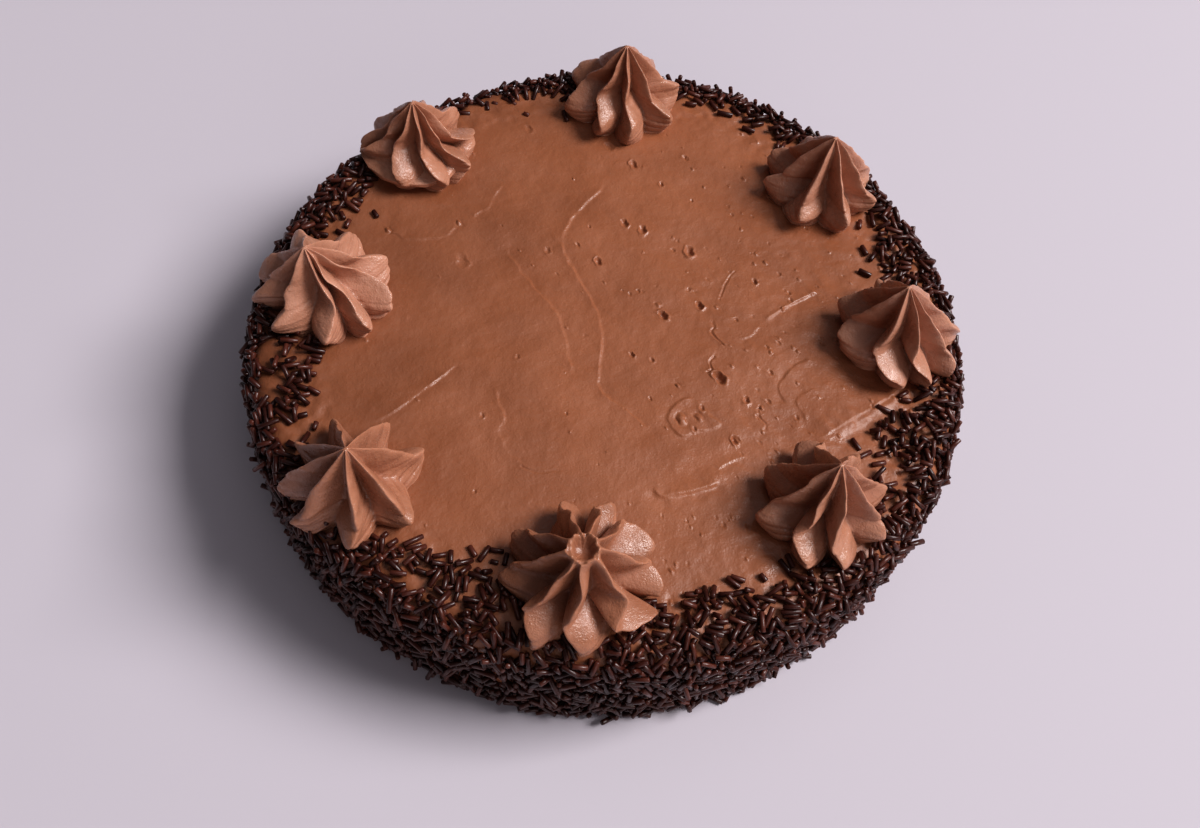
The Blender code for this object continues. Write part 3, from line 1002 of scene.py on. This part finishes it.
def coat_band(coat, dice):
    """The rim of the top: thick at the edge, thinning inward, in patches, with strays."""
    band_start = side_length + arc_length * BAND_START
    for _ in range(BAND_TRIES):
        angle = dice.uniform(0, math.tau)
        width = band_width(angle) + 2.0 * smooth_noise(angle * 60, 0.0, 6.0, 41)
        span = up_to_top + width - COAT - CORE_SHOULDER - band_start
        share = dice.random()
        travel = band_start + span * share
        patch = smooth_noise(angle * core_radius, travel, 7.0, 42)
        thin = share ** 2
        if dice.random() > 1 - 0.45 * thin + 0.50 * patch or patch < 0.55 * thin - 0.60:
            continue
        if not in_rosette(surface_frame(angle, travel)[0], 0.80):
            most_height = BAND_HEIGHTS[0] + (BAND_HEIGHTS[1] - BAND_HEIGHTS[0]) * share
            press_on(coat, dice, angle, travel, most_height, 1.0)


def stand_out(coat, dice):
    """Sprinkles caught on end, which stand out from the side and the rim."""
    for _ in range(STANDING_TRIES):
        angle = dice.uniform(0, math.tau)
        travel = dice.uniform(2.0, up_to_top)
        slope = dice.choice((-1, 1)) * dice.uniform(*STANDING_SLOPES)
        press_on(coat, dice, angle, travel, *STANDING_LIMITS, raised=slope)


def looseness(angle):
    """How far strays lie in at this angle: 0 as a rule, and 1 in a loose place."""
    return max(bell((math.degrees(angle) - direction + 180) % 360 - 180, spread)
               for direction, spread in LOOSE_PLACES)


def scatter_strays(coat, dice):
    for _ in range(STRAY_TRIES):
        angle = dice.uniform(0, math.tau)
        reach = STRAY_REACH * (1 + 1.3 * looseness(angle))
        inward = band_width(angle) - COAT - CORE_SHOULDER
        inward += min(dice.expovariate(1 / reach), MOST_STRAY_REACH)
        travel = up_to_top + max(0.0, inward)
        if not in_rosette(surface_frame(angle, travel)[0], 0.95):
            press_on(coat, dice, angle, travel, *STRAY_LIMITS)


def build_sprinkles(name, rods, material):
    """All of these sprinkles as one joined mesh."""
    unit_faces = tube_faces(len(SPRINKLE_RINGS), SECTION)
    unit_faces += [tuple(range(SECTION - 1, -1, -1)), tuple(range(3 * SECTION, 4 * SECTION))]
    turns = np.arange(SECTION) * math.tau / SECTION
    vertices, faces = [], []
    for number, (middle, direction, length, radius) in enumerate(rods):
        helper = (0, 0, 1) if abs(direction[2]) < 0.8 else (1, 0, 0)
        first = np.cross(helper, direction)
        first /= np.linalg.norm(first)
        second = np.cross(direction, first)
        spokes = np.outer(np.cos(turns), first) + np.outer(np.sin(turns), second)
        for end, inset, share in SPRINKLE_RINGS:
            centre = middle + direction * (end * length / 2 + inset * radius)
            vertices.append(centre + spokes * radius * share)
        base = number * len(SPRINKLE_RINGS) * SECTION
        faces.extend(tuple(base + i for i in face) for face in unit_faces)
    add_piece(name, np.vstack(vertices), faces, material, CAKE_NODE)


def build_coat(material):
    dice = random.Random(SPRINKLE_SEED)
    coat = Coat()
    coat_side(coat, dice, *FLAT_LAYER)
    coat_band(coat, dice)
    coat_side(coat, dice, *LOOSE_LAYER)
    stand_out(coat, dice)
    scatter_strays(coat, dice)
    for number, start in enumerate(range(0, len(coat.rods), RODS_PER_PIECE)):
        rods = coat.rods[start:start + RODS_PER_PIECE]
        build_sprinkles("sprinkles_%d" % (number + 1), rods, material)


# ---- Stage, light and camera ----
FLOOR_COLOUR = (0.575, 0.53, 0.58, 1)
FLOOR_REACH = 3.0

CAMERA_AIM = Vector((-0.1, -7.0, 0.0)) * MM
CAMERA_DISTANCE = 364.3 * MM
CAMERA_ELEVATION = math.radians(59.78)
CAMERA_ROLL = math.radians(9.59)
CAMERA_LENS = 32.4


def build_floor():
    far = FLOOR_REACH
    corners = [(-far, -far, 0), (far, -far, 0), (far, far, 0), (-far, far, 0)]
    material, _, shader = new_material("pale_floor")
    set_inputs(shader, Base_Color=FLOOR_COLOUR, Roughness=0.75)
    floor = mesh_object("floor", corners, [(0, 1, 2, 3)], material)


def add_area_light(name, azimuth, elevation, distance, size, power, colour):
    """A square soft light that faces the cake. Azimuth runs counter-clockwise from +X."""
    light = bpy.data.lights.new(name, "AREA")
    light.shape = "SQUARE"
    light.size = size
    light.energy = power
    light.color = colour
    lamp = add_object(name, light)
    around, up = math.radians(azimuth), math.radians(elevation)
    lamp.location = Vector((math.cos(around) * math.cos(up), math.sin(around) * math.cos(up),
                            math.sin(up))) * distance
    lamp.rotation_euler = (-lamp.location).to_track_quat("-Z", "Y").to_euler()


def build_light():
    add_area_light("window", 12, 47, 6.0, 2.6, 392, (1.0, 0.975, 0.985))
    add_area_light("ceiling", 40, 74, 2.6, 2.6, 8, (0.95, 0.94, 1.0))
    add_area_light("room", -62, 22, 3.0, 1.8, 11, (1.0, 0.96, 0.98))
    world = bpy.data.worlds.new("room")
    scene.world = world
    world.use_nodes = True
    set_inputs(world.node_tree.nodes["Background"], Color=(0.90, 0.87, 0.95, 1), Strength=0.08)


def build_camera():
    data = bpy.data.cameras.new("camera")
    data.lens = CAMERA_LENS
    data.clip_start = 0.01
    camera = add_object("camera", data)
    camera.matrix_world = (Matrix.Translation(CAMERA_AIM)
                           @ Matrix.Rotation(math.pi / 2 - CAMERA_ELEVATION, 4, "X")
                           @ Matrix.Rotation(CAMERA_ROLL, 4, "Z")
                           @ Matrix.Translation((0, 0, CAMERA_DISTANCE)))
    scene.camera = camera


def main():
    build_camera()
    build_light()
    build_floor()
    scene.view_settings.view_transform = "Standard"
    scene.view_settings.look = "Medium High Contrast"
    build_frosting(spread_frosting())
    # Lit and shaded copies of the piped frosting: one material for each level of painted light and
    # shade.
    painted_light_levels = sorted({look.pale for look in ROSETTE_LOOKS.values()})
    piped = {pale: piped_frosting(pale) for pale in painted_light_levels}
    for place in rosette_places:
        build_rosette(place, piped[ROSETTE_LOOKS[place.node].pale])
    build_coat(sprinkle_material())
    bpy.context.view_layer.update()


main()
